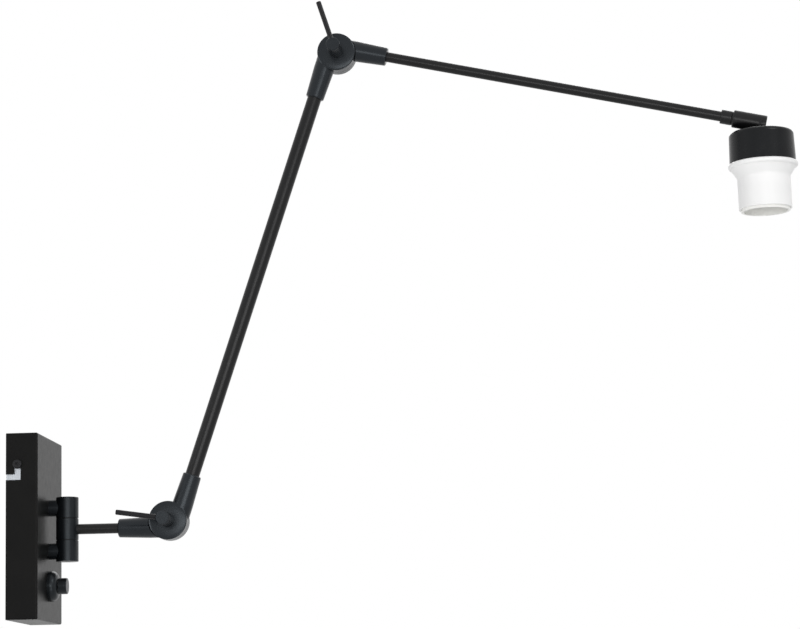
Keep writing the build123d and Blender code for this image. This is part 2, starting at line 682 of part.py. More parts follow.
def make_swivel():
    with BuildPart() as collar:
        start = upper_arm_at(COLLAR_END - COLLAR_LENGTH)
        with BuildSketch(start):
            Circle(COLLAR_RADIUS)
        extrude(amount=COLLAR_LENGTH)
        ends = collar.edges().filter_by(GeomType.CIRCLE)
        chamfer(ends, COLLAR_CHAMFER)
        with BuildSketch(start):
            Circle(THIN_TUBE_RADIUS + SEAT)
        extrude(amount=COLLAR_LENGTH, mode=Mode.SUBTRACT)
    finish(collar, "swivel_collar")

    ring(
        upper_arm_at(COLLAR_END + SPACER_PLAY),
        SWIVEL_WASHER_RADIUS,
        THIN_TUBE_RADIUS + SEAT,
        SWIVEL_WASHER,
        "swivel_washer",
    )
    ring(
        upper_arm_at(SWIVEL_NUT_START),
        SWIVEL_NUT_RADIUS,
        THIN_TUBE_RADIUS + SEAT,
        SWIVEL_NUT,
        "swivel_nut",
    )

    start = upper_arm_at(SLEEVE_START)
    with BuildPart() as sleeve:
        with BuildSketch(section(start)):
            with BuildLine():
                Polyline(
                    (THIN_TUBE_RADIUS + RUN, 0),
                    (SLEEVE_RADIUS - SLEEVE_CHAMFER, 0),
                    (SLEEVE_RADIUS, SLEEVE_CHAMFER),
                    (SLEEVE_RADIUS, SLEEVE_LENGTH - SLEEVE_CHAMFER),
                    (SLEEVE_RADIUS - SLEEVE_CHAMFER, SLEEVE_LENGTH),
                    (SLEEVE_CHAMBER, SLEEVE_LENGTH),
                    (SLEEVE_CHAMBER, SLEEVE_NECK),
                    (THIN_TUBE_RADIUS + RUN, SLEEVE_NECK),
                    close=True,
                )
            make_face()
        revolve(axis=Axis(start.origin, start.z_dir))
        slot_start = UPPER_ARM_REACH - SLEEVE_SLOT / 2 - LIE
        with BuildSketch(upper_arm_at(slot_start)):
            Rectangle(SLEEVE_SLOT, 2 * SLEEVE_RADIUS, align=(Align.CENTER, Align.MAX))
        extrude(amount=SLEEVE_LENGTH, mode=Mode.SUBTRACT)
        with BuildSketch(Plane(origin=TILT_PIN, z_dir=(0, -1, 0))):
            Circle(TILT_PIN_RADIUS + SEAT)
        extrude(amount=SLEEVE_RADIUS, both=True, mode=Mode.SUBTRACT)
    finish(sleeve, "swivel_sleeve")

    pin_half = SLEEVE_RADIUS - TILT_PIN_SINK
    rod(
        Plane(origin=TILT_PIN + Vector(0, pin_half, 0), z_dir=(0, -1, 0)),
        TILT_PIN_RADIUS,
        2 * pin_half,
        "tilt_pin",
    )
    with BuildPart() as spacers:
        for side in (-1, 1):
            foot = TILT_PIN + Vector(0, side * (EYE_HALF + SPACER_PLAY), 0)
            with BuildSketch(Plane(origin=foot, z_dir=(0, side, 0))):
                Circle(SPACER_RADIUS)
                Circle(TILT_PIN_RADIUS + SEAT, mode=Mode.SUBTRACT)
            extrude(amount=SPACER_LENGTH)
    finish(spacers, "tilt_spacers")


def make_tilt_stem():
    eye = Plane(origin=TILT_PIN, x_dir=HEAD.x_dir, z_dir=(0, -1, 0))
    with BuildPart() as stem:
        with BuildSketch(HEAD):
            Circle(STEM_RADIUS)
        extrude(amount=CAP_DISH)
        with BuildSketch(HEAD.offset(CAP_DISH)):
            Circle(STEM_THREAD_RADIUS)
        extrude(amount=STEM_FOOT - CAP_DISH)
        with BuildSketch(eye):
            Circle(EYE_RADIUS)
        extrude(amount=EYE_HALF, both=True)
        with BuildSketch(eye):
            Circle(TILT_PIN_RADIUS + RUN)
        extrude(amount=2 * EYE_HALF, both=True, mode=Mode.SUBTRACT)
        with BuildSketch(HEAD.offset(STEM_WINDOW_DEPTH)):
            Circle(STEM_BORE)
        extrude(amount=STEM_FOOT, mode=Mode.SUBTRACT)
        window_at = HEAD.origin + HEAD.z_dir * STEM_WINDOW_DEPTH
        with BuildSketch(Plane(origin=window_at, z_dir=-HEAD.x_dir)):
            Circle(STEM_WINDOW_RADIUS)
        extrude(amount=2 * STEM_RADIUS, mode=Mode.SUBTRACT)
    finish(stem, "tilt_stem")


# ---- lamp head --------------------------------------------------------------------------------------
def turned(outline, name):
    """A piece turned about the head's axis, from (radius, depth) corners and arcs."""
    with BuildPart() as piece:
        with BuildSketch(section(HEAD)):
            with BuildLine():
                outline()
            make_face()
        revolve(axis=Axis(HEAD.origin, HEAD.z_dir))
    finish(piece, name)


def cap_outline():
    shoulder = (CAP_TOP_RADIUS - CAP_CORNER, CAP_TOP + CAP_CORNER)
    inner_top_radius = CAP_TOP_RADIUS - CAP_WALL
    Line((STEM_THREAD_RADIUS + SEAT, CAP_DISH), (CAP_DISH_RADIUS, CAP_DISH))
    Line((CAP_DISH_RADIUS, CAP_DISH), (CAP_DISH_RADIUS, CAP_TOP))
    Line((CAP_DISH_RADIUS, CAP_TOP), (shoulder[0], CAP_TOP))
    CenterArc(shoulder, CAP_CORNER, -90, 90)
    Polyline(
        (CAP_TOP_RADIUS, shoulder[1]),
        (CAP_FOOT_RADIUS, CAP_FOOT),
        (CAP_FOOT_RADIUS - CAP_WALL, CAP_FOOT),
        (inner_top_radius, CAP_ROOF + CAP_WALL),
        (inner_top_radius - CAP_WALL, CAP_ROOF),
        (STEM_THREAD_RADIUS + SEAT, CAP_ROOF),
        (STEM_THREAD_RADIUS + SEAT, CAP_DISH),
    )


def shade_outline():
    rim_foot = CAP_FOOT + SHADE_RIM_HEIGHT
    inner_sleeve = SHADE_SLEEVE_RADIUS - SHADE_WALL
    lip_inner = SPIGOT_RADIUS - SHADE_WALL
    rim_flat = SHADE_RIM_RADIUS - SHADE_RIM_ROUND
    Polyline(
        (lip_inner, CAP_FOOT - SHADE_SPIGOT),
        (SPIGOT_RADIUS, CAP_FOOT - SHADE_SPIGOT),
        (SPIGOT_RADIUS, CAP_FOOT),
        (rim_flat, CAP_FOOT),
    )
    CenterArc((rim_flat, CAP_FOOT + SHADE_RIM_ROUND), SHADE_RIM_ROUND, -90, 90)
    Line((SHADE_RIM_RADIUS, CAP_FOOT + SHADE_RIM_ROUND), (SHADE_RIM_RADIUS, rim_foot - SHADE_RIM_ROUND))
    CenterArc((rim_flat, rim_foot - SHADE_RIM_ROUND), SHADE_RIM_ROUND, 0, 90)
    FilletPolyline(
        (rim_flat, rim_foot),
        (SHADE_SLEEVE_RADIUS, SHADE_CONE_FOOT),
        (SHADE_SLEEVE_RADIUS, SHADE_FOOT),
        radius=SHADE_BLEND,
    )
    Polyline(
        (SHADE_SLEEVE_RADIUS, SHADE_FOOT),
        (inner_sleeve, SHADE_FOOT),
        (inner_sleeve, SHADE_CONE_FOOT - SHADE_WALL / 2),
        (lip_inner, rim_foot),
        (lip_inner, CAP_FOOT - SHADE_SPIGOT),
    )


def holder_outline():
    inner = HOLDER_RADIUS - HOLDER_WALL
    Polyline(
        (STEM_THREAD_RADIUS + SEAT, HOLDER_TOP),
        (HOLDER_BOSS_RADIUS, HOLDER_TOP),
        (HOLDER_BOSS_RADIUS, STEM_FOOT),
        (HOLDER_RADIUS, HOLDER_CONE_FOOT),
        (HOLDER_RADIUS, HOLDER_FOOT),
        (inner, HOLDER_FOOT),
        (inner, HOLDER_LEDGE),
        (HOLDER_LEDGE_INNER, HOLDER_LEDGE),
        (HOLDER_LEDGE_INNER, HOLDER_CONE_FOOT),
        (HOLDER_BOSS_RADIUS - HOLDER_WALL, STEM_FOOT + HOLDER_WALL),
        (STEM_THREAD_RADIUS + SEAT, STEM_FOOT + HOLDER_WALL),
        close=True,
    )


def shell_outline():
    foot = HOLDER_LEDGE + INSULATOR_DISC
    bore = SHELL_RADIUS - SHELL_SHEET
    Polyline(
        (SHELL_FLOOR_HOLE, foot),
        (SHELL_NECK_RADIUS, foot),
        (SHELL_NECK_RADIUS, SHELL_TOP - SHELL_SHEET),
        (SHELL_RADIUS, SHELL_TOP - SHELL_SHEET),
        (SHELL_RADIUS, SHELL_FOOT),
        (bore, SHELL_FOOT),
        (bore, SHELL_TOP),
        (SHELL_NECK_RADIUS - SHELL_SHEET, SHELL_TOP),
        (SHELL_NECK_RADIUS - SHELL_SHEET, foot + SHELL_SHEET),
        (SHELL_FLOOR_HOLE, foot + SHELL_SHEET),
        close=True,
    )


def make_lampholder():
    turned(cap_outline, "head_cap")
    turned(shade_outline, "shade_ring")
    turned(holder_outline, "lampholder_body")

    with BuildPart() as nut:
        with BuildSketch(HEAD.offset(CAP_ROOF)):
            RegularPolygon(STEM_NUT_FLATS / 2, 6, major_radius=False)
            Circle(STEM_THREAD_RADIUS + SEAT, mode=Mode.SUBTRACT)
        extrude(amount=STEM_NUT)
    finish(nut, "stem_nut")

    with BuildPart() as insulator:
        with BuildSketch(HEAD.offset(HOLDER_LEDGE)):
            Circle(INSULATOR_RADIUS)
        extrude(amount=INSULATOR_DISC)
        with BuildSketch(HEAD.offset(HOLDER_LEDGE + INSULATOR_DISC)):
            Circle(INSULATOR_TUBE_RADIUS)
            Circle(SHELL_RADIUS + SEAT, mode=Mode.SUBTRACT)
        extrude(amount=INSULATOR_FOOT - HOLDER_LEDGE - INSULATOR_DISC)
        with BuildSketch(HEAD.offset(HOLDER_LEDGE)):
            Circle(CONTACT_RIVET + SEAT)
            with PolarLocations(INSULATOR_WIRE_PLACE, 2):
                Circle(INSULATOR_WIRE_WAY)
        extrude(amount=INSULATOR_DISC, mode=Mode.SUBTRACT)
    finish(insulator, "contact_insulator")

    with BuildPart() as shell:
        with BuildSketch(section(HEAD)):
            with BuildLine():
                shell_outline()
            make_face()
        revolve(axis=Axis(HEAD.origin, HEAD.z_dir))
        with BuildSketch(HEAD.offset(HOLDER_LEDGE + INSULATOR_DISC)):
            with PolarLocations(INSULATOR_WIRE_PLACE, 2):
                Circle(INSULATOR_WIRE_WAY)
        extrude(amount=SHELL_SHEET, mode=Mode.SUBTRACT)
    finish(shell, "screw_shell")

    with BuildPart() as contact:
        with BuildSketch(HEAD.offset(HOLDER_LEDGE)):
            Circle(CONTACT_RIVET)
        extrude(amount=INSULATOR_DISC)
        with BuildSketch(HEAD.offset(HOLDER_LEDGE + INSULATOR_DISC)):
            Circle(CONTACT_RADIUS)
        extrude(amount=CONTACT_HEIGHT)
        tip = contact.faces().sort_by(Axis(HEAD.origin, HEAD.z_dir))[-1]
        fillet(tip.edges(), CONTACT_HEIGHT / 3)
    finish(contact, "centre_contact")

    head_lead_top = STEM_FOOT - HOLDER_BOSS
    with BuildPart() as head_lead:
        with BuildSketch(HEAD.offset(head_lead_top)):
            with Locations((0, STEM_BORE - LIE - HEAD_LEAD_RADIUS)):
                Circle(HEAD_LEAD_RADIUS)
        extrude(amount=HOLDER_LEDGE - head_lead_top)
    finish(head_lead, "head_lead")


# ---- dimmer -----------------------------------------------------------------------------------------
def make_dimmer():
    axis_at = Plane(origin=(0, 0, -DIMMER_DROP), x_dir=(0, 1, 0), z_dir=(1, 0, 0))
    with BuildPart() as module:
        with BuildSketch(axis_at.offset(FRONT_INSIDE)):
            Rectangle(DIMMER_WIDTH, DIMMER_HEIGHT)
        extrude(amount=-DIMMER_DEPTH)
        with BuildSketch(axis_at.offset(FRONT_INSIDE)):
            Circle(BUSH_RADIUS)
        extrude(amount=BUSH_REACH)
        with BuildSketch(axis_at.offset(FRONT_INSIDE + BUSH_REACH)):
            Circle(SHAFT_RADIUS + RUN)
        extrude(amount=-(BUSH_REACH + SHAFT_SINK + RUN), mode=Mode.SUBTRACT)
    finish(module, "dimmer_module")

    with BuildPart() as rosette:
        start = axis_at.offset(FRONT)
        with BuildSketch(section(start)):
            with BuildLine():
                Line((BUSH_RADIUS + SEAT, 0), (ROSETTE_RADIUS, 0))
                Line((ROSETTE_RADIUS, 0), (ROSETTE_RADIUS, ROSETTE_EDGE))
                EllipticalCenterArc(
                    (ROSETTE_TOP_RADIUS, ROSETTE_EDGE),
                    ROSETTE_RADIUS - ROSETTE_TOP_RADIUS,
                    ROSETTE_TOP - ROSETTE_EDGE,
                    arc_size=90,
                )
                Polyline(
                    (ROSETTE_TOP_RADIUS, ROSETTE_TOP),
                    (SHAFT_RADIUS + LIE, ROSETTE_TOP),
                    (SHAFT_RADIUS + LIE, BUSH_REACH - BOX_SHEET),
                    (BUSH_RADIUS + SEAT, BUSH_REACH - BOX_SHEET),
                    (BUSH_RADIUS + SEAT, 0),
                )
            make_face()
        revolve(axis=Axis(start.origin, start.z_dir))
    finish(rosette, "dimmer_rosette")

    knob_start = FRONT + ROSETTE_TOP + DIMMER_KNOB_GAP
    shaft_end = knob_start + DIMMER_KNOB_LENGTH - DIMMER_KNOB_WALL
    shaft_start = FRONT_INSIDE - SHAFT_SINK
    rod(axis_at.offset(shaft_start), SHAFT_RADIUS, shaft_end - shaft_start, "dimmer_shaft")

    with BuildPart() as knob:
        with BuildSketch(axis_at.offset(knob_start)):
            Circle(DIMMER_KNOB_RADIUS)
        extrude(amount=DIMMER_KNOB_LENGTH)
        fillet(knob.faces().sort_by(Axis.X)[-1].edges(), DIMMER_KNOB_ROUND)
        with BuildSketch(axis_at.offset(knob_start)):
            Circle(SHAFT_RADIUS + SEAT)
        extrude(amount=shaft_end + SEAT - knob_start, mode=Mode.SUBTRACT)
    finish(knob, "dimmer_knob")


# ---- wiring in the box --------------------------------------------------------------------------------
def make_wiring():
    poles = [(-TERMINAL_PITCH, 0), (0, 0), (TERMINAL_PITCH, 0)]
    on_bracket = Plane(origin=(BRACKET_SHEET, 0, TERMINAL_Z), x_dir=(0, 1, 0), z_dir=(1, 0, 0))
    with BuildPart() as block:
        with BuildSketch(on_bracket):
            Rectangle(TERMINAL_WIDTH, TERMINAL_HEIGHT)
        extrude(amount=TERMINAL_DEPTH)
        with BuildSketch(on_bracket.offset(TERMINAL_DEPTH)):
            with Locations(*poles):
                Circle(TERMINAL_SCREW_RADIUS + SEAT)
        extrude(amount=-(TERMINAL_SCREW_SINK + TERMINAL_SCREW_LENGTH), mode=Mode.SUBTRACT)
        under = Plane(
            origin=(BRACKET_SHEET + TERMINAL_DEPTH / 2, 0, TERMINAL_Z - TERMINAL_HEIGHT / 2),
            x_dir=(0, 1, 0),
            z_dir=(0, 0, 1),
        )
        with BuildSketch(under):
            with Locations(*poles):
                Circle(TERMINAL_WAY)
        extrude(amount=TERMINAL_HEIGHT, mode=Mode.SUBTRACT)
    finish(block, "terminal_block")

    with BuildPart() as screws:
        with BuildSketch(on_bracket.offset(TERMINAL_DEPTH - TERMINAL_SCREW_SINK)):
            with Locations(*poles):
                Circle(TERMINAL_SCREW_RADIUS)
        extrude(amount=-TERMINAL_SCREW_LENGTH)
    finish(screws, "terminal_screws")

    with BuildPart() as earth:
        with BuildSketch(FACING_WALL.offset(BRACKET_SHEET)):
            with Locations((EARTH_Y, EARTH_Z)):
                Circle(EARTH_HEAD_RADIUS)
        extrude(amount=EARTH_HEAD)
        with BuildSketch(FACING_WALL.offset(BRACKET_SHEET)):
            with Locations((EARTH_Y, EARTH_Z)):
                Circle(EARTH_RADIUS)
        extrude(amount=-BRACKET_SHEET)
    finish(earth, "earth_screw")

    way_x = BRACKET_SHEET + TERMINAL_DEPTH / 2
    block_foot = TERMINAL_Z - TERMINAL_HEIGHT / 2
    module_top = DIMMER_HEIGHT / 2 - DIMMER_DROP
    mains_points = [
        (way_x, TERMINAL_PITCH, block_foot),
        (way_x, TERMINAL_PITCH, MAINS_BEND_HIGH),
        (MAINS_LEAD_X, TERMINAL_PITCH, MAINS_BEND_LOW),
        (MAINS_LEAD_X, TERMINAL_PITCH, module_top),
    ]
    lamp_points = [
        (LAMP_LEAD_X, 0, module_top),
        (LAMP_LEAD_X, 0, -KNUCKLE_PITCH),
        (LAMP_LEAD_END, 0, -KNUCKLE_PITCH),
    ]
    lead("mains_lead", mains_points, LEAD_RADIUS, bend_radii(mains_points))
    lead("lamp_lead", lamp_points, LEAD_RADIUS, bend_radii(lamp_points))


# ---- the whole lamp -----------------------------------------------------------------------------------
make_wall_box()
make_wall_bracket()
make_cover_screws()
make_backing_plate()
make_post(KNUCKLE_PITCH, "upper_post")
make_post(-KNUCKLE_PITCH, "lower_post")
make_knuckle(KNUCKLE_PITCH, PIN_RADIUS + SEAT, NIPPLE_RADIUS + SEAT, -1, "upper_knuckle")
make_knuckle(0, PIN_RADIUS + RUN, THIN_TUBE_RADIUS + SEAT, 1, "middle_knuckle")
make_knuckle(-KNUCKLE_PITCH, PIN_RADIUS + SEAT, NIPPLE_RADIUS + SEAT, -1, "lower_knuckle")
make_hinge_pin()
make_pairs_on_hinge()

short_arm_start = HINGE_X + PIN_RADIUS + SHORT_ARM_FOOT
short_arm_length = ELBOW_X - TUBE_FOOT - short_arm_start
thin_tube = (THIN_TUBE_RADIUS, THIN_TUBE_BORE)
thick_tube = (THICK_TUBE_RADIUS, THICK_TUBE_BORE)
lower_tube_length = LOWER_ARM_SPAN - 2 * TUBE_FOOT
upper_tube_length = UPPER_TUBE_END - TUBE_FOOT
short_tube_at = across(Vector(short_arm_start, 0, 0), Vector(1, 0, 0))
lower_tube_at = across(LOWER_ARM_START + ALONG_LOWER * TUBE_FOOT, ALONG_LOWER)
upper_tube_at = upper_arm_at(TUBE_FOOT)
ring(short_tube_at, *thin_tube, short_arm_length, "short_arm")
ring(lower_tube_at, *thick_tube, lower_tube_length, "lower_arm")
ring(upper_tube_at, *thin_tube, upper_tube_length, "upper_arm")
make_cable(short_tube_at.origin, short_tube_at.z_dir, THIN_TUBE_BORE, short_arm_length, "short_arm_cable")
make_cable(lower_tube_at.origin, ALONG_LOWER, THICK_TUBE_BORE, lower_tube_length, "lower_arm_cable")
make_cable(upper_tube_at.origin, ALONG_UPPER, THIN_TUBE_BORE, upper_tube_length, "upper_arm_cable")

short_arm_elbow = elbow(LOWER_PIVOT, Vector(-1, 0, 0), 1)
lower_arm_foot = elbow(LOWER_PIVOT, ALONG_LOWER, -1)
lower_arm_head = elbow(UPPER_PIVOT, -ALONG_LOWER, -1)
upper_arm_elbow = elbow(UPPER_PIVOT, ALONG_UPPER, 1)
make_hub(short_arm_elbow, THIN_TUBE_RADIUS, THIN_OFFSET, True, 1, "short_arm_hub")
make_hub(lower_arm_foot, THICK_TUBE_RADIUS, THICK_OFFSET, False, -1, "lower_arm_foot_hub")
make_hub(lower_arm_head, THICK_TUBE_RADIUS, THICK_OFFSET, False, -1, "lower_arm_head_hub")
make_hub(upper_arm_elbow, THIN_TUBE_RADIUS, THIN_OFFSET, True, 1, "upper_arm_hub")

make_grubs([short_arm_elbow], THIN_TUBE_RADIUS, THIN_OFFSET, 1, "short_arm_grub_screw")
lower_hubs = [lower_arm_foot, lower_arm_head]
make_grubs(lower_hubs, THICK_TUBE_RADIUS, THICK_OFFSET, -1, "lower_arm_grub_screws")
make_grubs([upper_arm_elbow], THIN_TUBE_RADIUS, THIN_OFFSET, 1, "upper_arm_grub_screw")

make_clamp(LOWER_PIVOT, LOWER_LEVER_ANGLE, "lower_elbow")
make_clamp(UPPER_PIVOT, UPPER_LEVER_ANGLE, "upper_elbow")
make_swivel()
make_tilt_stem()
make_lampholder()
make_dimmer()
make_wiring()
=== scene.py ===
"""Looks of the articulating wall lamp: materials, the socket's thread, floor, light and camera.

Everything is in metres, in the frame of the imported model: the origin is the middle of the wall
box's back, +X points out of the wall, +Z up, and the camera stands on the -Y side.
"""

import json
import math

import bpy
import bmesh
from mathutils import Matrix, Vector


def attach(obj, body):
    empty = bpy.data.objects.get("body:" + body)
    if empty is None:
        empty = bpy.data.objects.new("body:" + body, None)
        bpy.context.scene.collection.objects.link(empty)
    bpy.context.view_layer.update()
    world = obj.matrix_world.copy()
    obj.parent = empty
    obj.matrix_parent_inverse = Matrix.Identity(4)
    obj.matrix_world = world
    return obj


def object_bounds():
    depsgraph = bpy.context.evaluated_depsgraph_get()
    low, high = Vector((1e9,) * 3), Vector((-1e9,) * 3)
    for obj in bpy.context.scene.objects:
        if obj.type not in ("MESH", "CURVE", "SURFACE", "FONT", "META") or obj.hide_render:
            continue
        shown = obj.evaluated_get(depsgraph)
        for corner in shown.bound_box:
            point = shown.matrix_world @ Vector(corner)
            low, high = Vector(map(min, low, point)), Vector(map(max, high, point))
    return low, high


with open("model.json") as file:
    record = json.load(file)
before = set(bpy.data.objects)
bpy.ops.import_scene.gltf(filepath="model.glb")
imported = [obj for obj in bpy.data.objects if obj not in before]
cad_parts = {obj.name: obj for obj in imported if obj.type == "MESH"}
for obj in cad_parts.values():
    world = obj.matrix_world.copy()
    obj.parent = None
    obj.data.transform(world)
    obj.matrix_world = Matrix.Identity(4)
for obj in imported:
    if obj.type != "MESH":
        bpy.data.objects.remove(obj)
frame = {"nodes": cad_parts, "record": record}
cad_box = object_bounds()
nodes = frame["nodes"]

# ---- numbers of the materials ----------------------------------------------------------------
# A noise is (scale, detail). Stops are the places along a noise where the dark and the light
# colour lie. A reach is what a noise adds to a roughness at its low and its high end.
NOISE_ROUGHNESS = 0.55
RELIEF_STRENGTH = 1.0

COAT_MOTTLE, COAT_SHEEN = (38, 5), (130, 4)
COAT_STOPS = (0.3, 0.7)
COAT_REACH = (-0.05, 0.07)
COAT_GRAIN, HUB_GRAIN = 900, 600
COAT_GRAIN_DETAIL = 2
COAT_RELIEF = 0.00003
COAT_WAVE_RATIO, COAT_WAVE_GAIN = 5, 1.5
NEUTRAL = (1.0, 1.0, 1.0)
COOL = (0.84, 0.93, 1.0)

# Wear begins and is full at two cosines between the rounded and the true normal.
WEAR_RADIUS = 0.0006
WEAR_SAMPLES = 4
WEAR_COSINES = (0.99, 0.8)
WEAR_AMOUNT = 0.22
WEAR_NOISE, WEAR_BREAKS = (420, 3), (0.2, 1.4)
WEAR_GAIN, WEAR_LIFT = 3.2, 0.01

METAL_STREAKS, METAL_SHEEN = (900, 3), (240, 3)
METAL_STOPS = (0.25, 0.75)
METAL_REACH = (-0.07, 0.1)
METAL_RELIEF = 0.00001
EVEN = (1, 1, 1)

PLASTIC_CLOUDS, PLASTIC_SHEEN, PLASTIC_GRAIN = (22, 4), (160, 3), (1500, 2)
PLASTIC_STOPS = (0.3, 0.7)
PLASTIC_REACH = (-0.05, 0.08)
PLASTIC_RELIEF = 0.00002


# ---- node material helpers -------------------------------------------------------------------
def add_node(tree, kind, values=None, **settings):
    """A new node: settings are its attributes, values are those of its sockets."""
    made = tree.nodes.new(kind)
    for key, value in settings.items():
        setattr(made, key, value)
    for socket, value in (values or {}).items():
        made.inputs[socket].default_value = value
    return made


class Mat:
    """One procedural material, built round a Principled shader."""

    def __init__(self, name, **sockets):
        self.material = bpy.data.materials.new(name)
        self.material.use_nodes = True
        self.tree = self.material.node_tree
        self.shader = self.tree.nodes["Principled BSDF"]
        for key, value in sockets.items():
            self.shader.inputs[key.replace("_", " ")].default_value = value
        self.coords = self.node("ShaderNodeTexCoord")
        self.height = None

    def node(self, kind, values=None, **settings):
        return add_node(self.tree, kind, values, **settings)

    def link(self, source, target):
        self.tree.links.new(source, target)

    def noise(self, scale, detail, stretch=EVEN):
        """Noise in the object's frame; a stretch under 1 draws it out along that axis."""
        mapping = self.node("ShaderNodeMapping", {"Scale": stretch})
        self.link(self.coords.outputs["Object"], mapping.inputs["Vector"])
        made = self.node(
            "ShaderNodeTexNoise",
            {"Scale": scale, "Detail": detail, "Roughness": NOISE_ROUGHNESS},
        )
        self.link(mapping.outputs["Vector"], made.inputs["Vector"])
        return made.outputs["Fac"]

    def ramp(self, factor, places, colours):
        """Colour along a factor, from the first colour to the second between two places."""
        made = self.node("ShaderNodeValToRGB")
        for element, place, colour in zip(made.color_ramp.elements, places, colours):
            element.position, element.color = place, (*colour, 1)
        self.link(factor, made.inputs["Fac"])
        return made.outputs["Color"]

    def spread(self, factor, low, high):
        """A factor from 0 to 1 as a value from low to high."""
        made = self.node("ShaderNodeMapRange", {"To Min": low, "To Max": high})
        self.link(factor, made.inputs["Value"])
        return made.outputs["Result"]

    def colour(self, source):
        self.link(source, self.shader.inputs["Base Color"])

    def rough(self, factor, middle, reach):
        """Roughness that a noise moves about its middle."""
        low, high = (middle + part for part in reach)
        self.link(self.spread(factor, low, high), self.shader.inputs["Roughness"])

    def bump(self, source, distance):
        """Adds a layer of relief, distance in metres."""
        made = self.node("ShaderNodeBump", {"Distance": distance, "Strength": RELIEF_STRENGTH})
        self.link(source, made.inputs["Height"])
        if self.height:
            self.link(self.height, made.inputs["Normal"])
        self.height = made.outputs["Normal"]
        self.link(self.height, self.shader.inputs["Normal"])


def edge_wear(mat, base, worn):
    """Mixes a worn colour in along sharp outer edges, broken up by noise."""
    bevel = mat.node("ShaderNodeBevel", {"Radius": WEAR_RADIUS}, samples=WEAR_SAMPLES)
    geometry = mat.node("ShaderNodeNewGeometry")
    dot = mat.node("ShaderNodeVectorMath", operation="DOT_PRODUCT")
    mat.link(bevel.outputs["Normal"], dot.inputs[0])
    mat.link(geometry.outputs["Normal"], dot.inputs[1])
    begins, full = WEAR_COSINES
    edge = mat.node(
        "ShaderNodeMapRange", {"From Min": begins, "From Max": full, "To Max": WEAR_AMOUNT}
    )
    mat.link(dot.outputs["Value"], edge.inputs["Value"])
    broken = mat.node("ShaderNodeMath", operation="MULTIPLY")
    mat.link(edge.outputs["Result"], broken.inputs[0])
    mat.link(mat.spread(mat.noise(*WEAR_NOISE), *WEAR_BREAKS), broken.inputs[1])
    factor, first, second, result = 0, 6, 7, 2  # the colour sockets of a Mix node
    blend = mat.node("ShaderNodeMix", {second: (*worn, 1)}, data_type="RGBA")
    mat.link(broken.outputs["Value"], blend.inputs[factor])
    mat.link(base, blend.inputs[first])
    return blend.outputs[result]


def black_coat(name, dark, light, roughness, specular, grain=COAT_GRAIN, tint=NEUTRAL):
    """Satin black paint: mottled a little, worn at edges, with the ripple of sprayed powder."""
    mat = Mat(name, Specular_IOR_Level=specular, Specular_Tint=(*tint, 1))
    mottle = mat.ramp(mat.noise(*COAT_MOTTLE), COAT_STOPS, (dark, light))
    worn = tuple(part * WEAR_GAIN + WEAR_LIFT for part in light)
    mat.colour(edge_wear(mat, mottle, worn))
    mat.rough(mat.noise(*COAT_SHEEN), roughness, COAT_REACH)
    mat.bump(mat.noise(grain, COAT_GRAIN_DETAIL), COAT_RELIEF)
    waves = mat.noise(grain / COAT_WAVE_RATIO, COAT_GRAIN_DETAIL)
    mat.bump(waves, COAT_RELIEF * COAT_WAVE_GAIN)
    return mat.material


def turned_metal(name, dark, light, roughness, stretch=EVEN, metallic=1.0, specular=0.5):
    """Turned or drawn metal, streaked along the axis that stretch draws out."""
    mat = Mat(name, Metallic=metallic, Specular_IOR_Level=specular)
    streaks = mat.noise(*METAL_STREAKS, stretch)
    mat.colour(mat.ramp(streaks, METAL_STOPS, (dark, light)))
    mat.rough(mat.noise(*METAL_SHEEN, stretch), roughness, METAL_REACH)
    mat.bump(streaks, METAL_RELIEF)
    return mat.material


def moulded(name, dark, light, roughness, specular=0.5):
    """Moulded plastic: cloudy by a hair, with a soft spark-eroded grain."""
    mat = Mat(name, Specular_IOR_Level=specular)
    mat.colour(mat.ramp(mat.noise(*PLASTIC_CLOUDS), PLASTIC_STOPS, (dark, light)))
    mat.rough(mat.noise(*PLASTIC_SHEEN), roughness, PLASTIC_REACH)
    mat.bump(mat.noise(*PLASTIC_GRAIN), PLASTIC_RELIEF)
    return mat.material


# ---- the materials ---------------------------------------------------------------------------
BOX_COAT = black_coat(
    "box_coat",
    dark=(0.0036, 0.0036, 0.0035),
    light=(0.0052, 0.0051, 0.0049),
    roughness=0.34,
    specular=0.09,
)
HINGE_COAT = black_coat(
    "hinge_coat",
    dark=(0.0036, 0.0044, 0.0054),
    light=(0.0056, 0.0066, 0.008),
    roughness=0.3,
    specular=0.26,
    tint=COOL,
)
TUBE_COAT = black_coat(
    "tube_coat",
    dark=(0.003, 0.003, 0.0034),
    light=(0.0048, 0.0048, 0.0054),
    roughness=0.29,
    specular=0.26,
)
HUB_COAT = black_coat(
    "hub_coat",
    dark=(0.004, 0.0048, 0.0062),
    light=(0.0066, 0.0076, 0.0096),
    roughness=0.26,
    specular=0.34,
    grain=HUB_GRAIN,
    tint=COOL,
)
CAP_COAT = black_coat(
    "cap_coat",
    dark=(0.006, 0.0066, 0.0076),
    light=(0.0084, 0.0092, 0.0104),
    roughness=0.25,
    specular=0.15,
)
ZINC = turned_metal(
    "zinc_plate",
    dark=(0.38, 0.4, 0.43),
    light=(0.5, 0.53, 0.56),
    roughness=0.36,
    stretch=(1, 1, 0.08),
)
STEEL = turned_metal(
    "plain_steel",
    dark=(0.45, 0.45, 0.46),
    light=(0.62, 0.62, 0.63),
    roughness=0.3,
    stretch=(1, 1, 0.2),
)
BLACK_STEEL = turned_metal(
    "blackened_steel",
    dark=(0.008, 0.008, 0.009),
    light=(0.018, 0.018, 0.02),
    roughness=0.36,
    metallic=0.3,
    specular=0.2,
)
BRASS = turned_metal(
    "brass",
    dark=(0.62, 0.42, 0.14),
    light=(0.85, 0.63, 0.27),
    roughness=0.28,
    stretch=(1, 1, 0.3),
)
